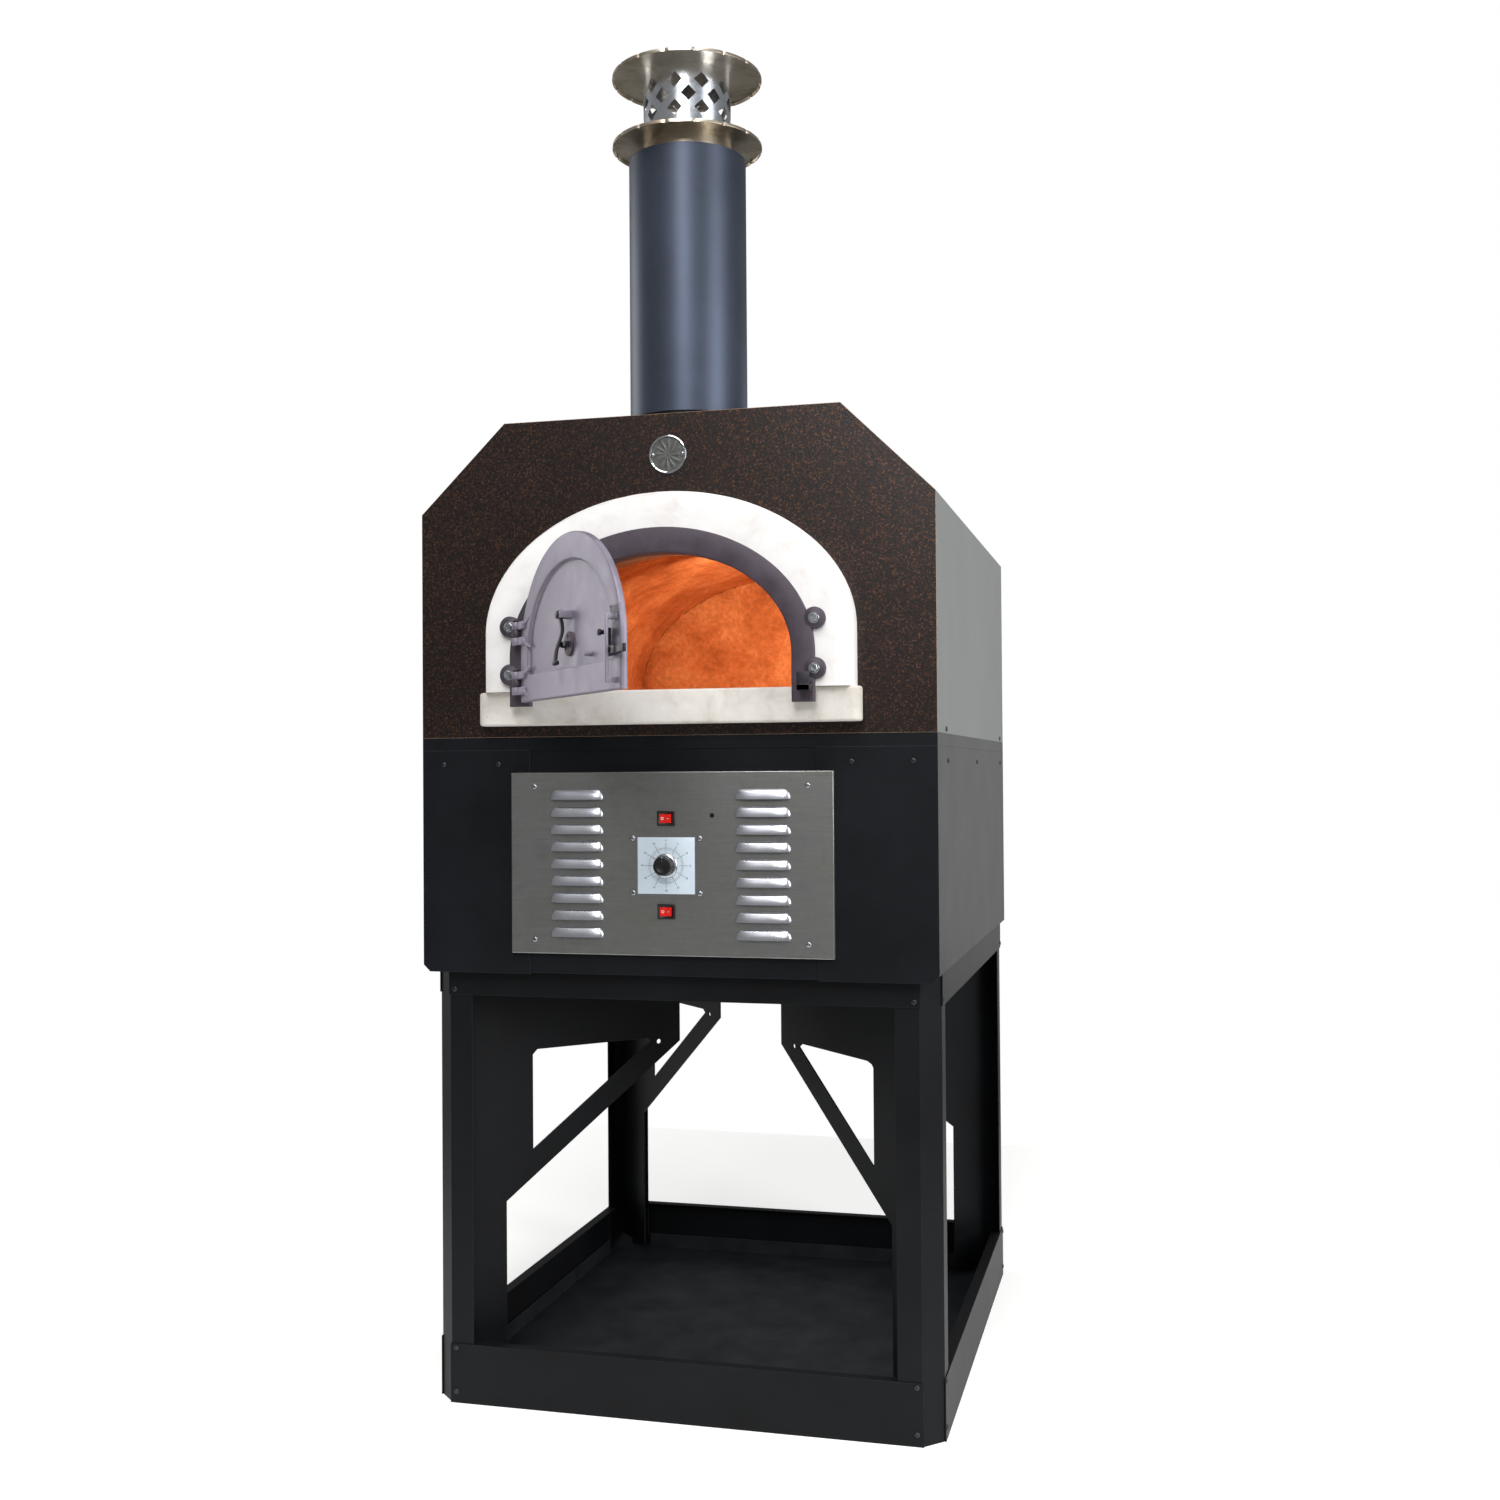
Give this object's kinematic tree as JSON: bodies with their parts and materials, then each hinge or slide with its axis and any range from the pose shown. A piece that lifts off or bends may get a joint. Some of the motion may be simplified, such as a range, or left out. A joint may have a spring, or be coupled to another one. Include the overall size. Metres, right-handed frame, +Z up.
{
  "type": "wood fired pizza oven",
  "caption": "Outdoor pizza oven: refractory vault in a hood on a steel stand with wood store, cast-iron door, gas burner controls and capped chimney.",
  "frame": {"origin": "on the floor, under the middle of the casing, at the underside of the wood tray", "axes": "+X to the right as seen from the mouth, +Y from the mouth to the back, +Z up"},
  "size_m": [0.9098, 1.542, 2.3264],
  "materials": {
    "stand_black": "matt black powder coat on folded steel",
    "casing_black": "satin black powder coat on sheet steel",
    "panel_steel": "brushed stainless steel, horizontal grain",
    "dial_face": "pale blue-white printed aluminium plate",
    "black_plastic": "matt black moulded plastic",
    "red_plastic": "glossy red plastic",
    "brass": "dull brass body",
    "gas_iron": "dark iron gas pipe",
    "igniter_ceramic": "white glazed ceramic",
    "board": "off-white calcium silicate board",
    "white_cast": "off-white cast refractory, lightly scuffed",
    "vault_cast": "orange-tan fired refractory with dark pits",
    "blanket": "white ceramic fibre blanket",
    "hood_copper": "copper vein hammertone powder coat",
    "hood_grey": "satin grey sheet steel",
    "flue_black": "satin charcoal high-temperature paint",
    "flue_steel": "bright rolled stainless steel",
    "iron": "dark violet-grey cast iron",
    "iron_light": "violet-grey satin cast iron",
    "bright_steel": "bright zinc and chrome plated steel",
    "module_grey": "plain grey box"
  },
  "bodies": {
    "oven": {"wood_tray": "stand_black", "post_front_left": "stand_black", "post_front_right": "stand_black", "post_rear_left": "stand_black", "post_rear_right": "stand_black", "rail_bottom_front": "stand_black", "rail_bottom_rear": "stand_black", "rail_bottom_left": "stand_black", "rail_bottom_right": "stand_black", "rail_top_front": "stand_black", "rail_top_rear": "stand_black", "rail_top_left": "stand_black", "rail_top_right": "stand_black", "gusset_front_left": "stand_black", "gusset_front_right": "stand_black", "gusset_rear_left": "stand_black", "gusset_rear_right": "stand_black", "bay_floor": "stand_black", "hearth_deck": "casing_black", "wrap_left": "casing_black", "wrap_right": "casing_black", "front_fascia": "casing_black", "rear_cover": "casing_black", "control_panel": "panel_steel", "dial_plate": "dial_face", "timer_body": "black_plastic", "switch_bodies": "black_plastic", "control_module": "module_grey", "gas_valve": "brass", "gas_pipe": "gas_iron", "burner": "gas_iron", "igniter": "igniter_ceramic", "insulation_board": "board", "hearth_slab": "white_cast", "arch_surround": "white_cast", "vault_shell": "vault_cast", "rear_wall": "vault_cast", "insulation_blanket": "blanket", "hood_front": "hood_copper", "hood_skin": "hood_grey", "hood_rear": "hood_grey", "flue_collar": "flue_black", "inner_flue": "flue_steel", "outer_sleeve": "flue_black", "cap_base": "flue_steel", "cap_screen": "flue_steel", "cap_top_disc": "flue_steel", "door_frame": "iron", "hinge_pins": "iron", "badge": "bright_steel", "pan_screws": "bright_steel", "frame_bolts": "bright_steel"},
    "door": {"door": "iron_light"},
    "drop_handle": {"drop_handle": "iron"},
    "latch": {"latch_lever": "iron"},
    "vent": {"vent_shutter": "iron"},
    "timer_knob": {"timer_knob": "black_plastic"},
    "main_switch": {"main_switch_rocker": "red_plastic"},
    "burner_switch": {"burner_switch_rocker": "red_plastic"}
  },
  "joints": [
    {"name": "door_hinge", "type": "hinge", "parent": "oven", "child": "door", "pos_m": [-0.243, -0.59855, 1.294], "axis": [0, 0, -1], "range_deg": [-50, 70]},
    {"name": "handle_swing", "type": "hinge", "parent": "door", "child": "drop_handle", "pos_m": [-0.0914, -0.78856, 1.345], "axis": [-0.6428, 0.766, 0], "range_deg": [0, 80]},
    {"name": "latch_drop", "type": "hinge", "parent": "door", "child": "latch", "pos_m": [0.04482, -0.93534, 1.276], "axis": [0.766, 0.6428, 0], "range_deg": [0, 22]},
    {"name": "vent_turn", "type": "hinge", "parent": "door", "child": "vent", "pos_m": [-0.07914, -0.77827, 1.3], "axis": [-0.766, -0.6428, 0], "range_deg": [0, 60]},
    {"name": "timer_turn", "type": "hinge", "parent": "oven", "child": "timer_knob", "pos_m": [-0.004, -0.535, 0.9445], "axis": [0, 1, 0], "range_deg": [0, 300]},
    {"name": "main_switch_rock", "type": "hinge", "parent": "oven", "child": "main_switch", "pos_m": [-0.004, -0.529, 1.0235], "axis": [0, 0, 1], "range_deg": [0, 16]},
    {"name": "burner_switch_rock", "type": "hinge", "parent": "oven", "child": "burner_switch", "pos_m": [-0.004, -0.529, 0.8675], "axis": [0, 0, 1], "range_deg": [0, 16]}
  ]
}
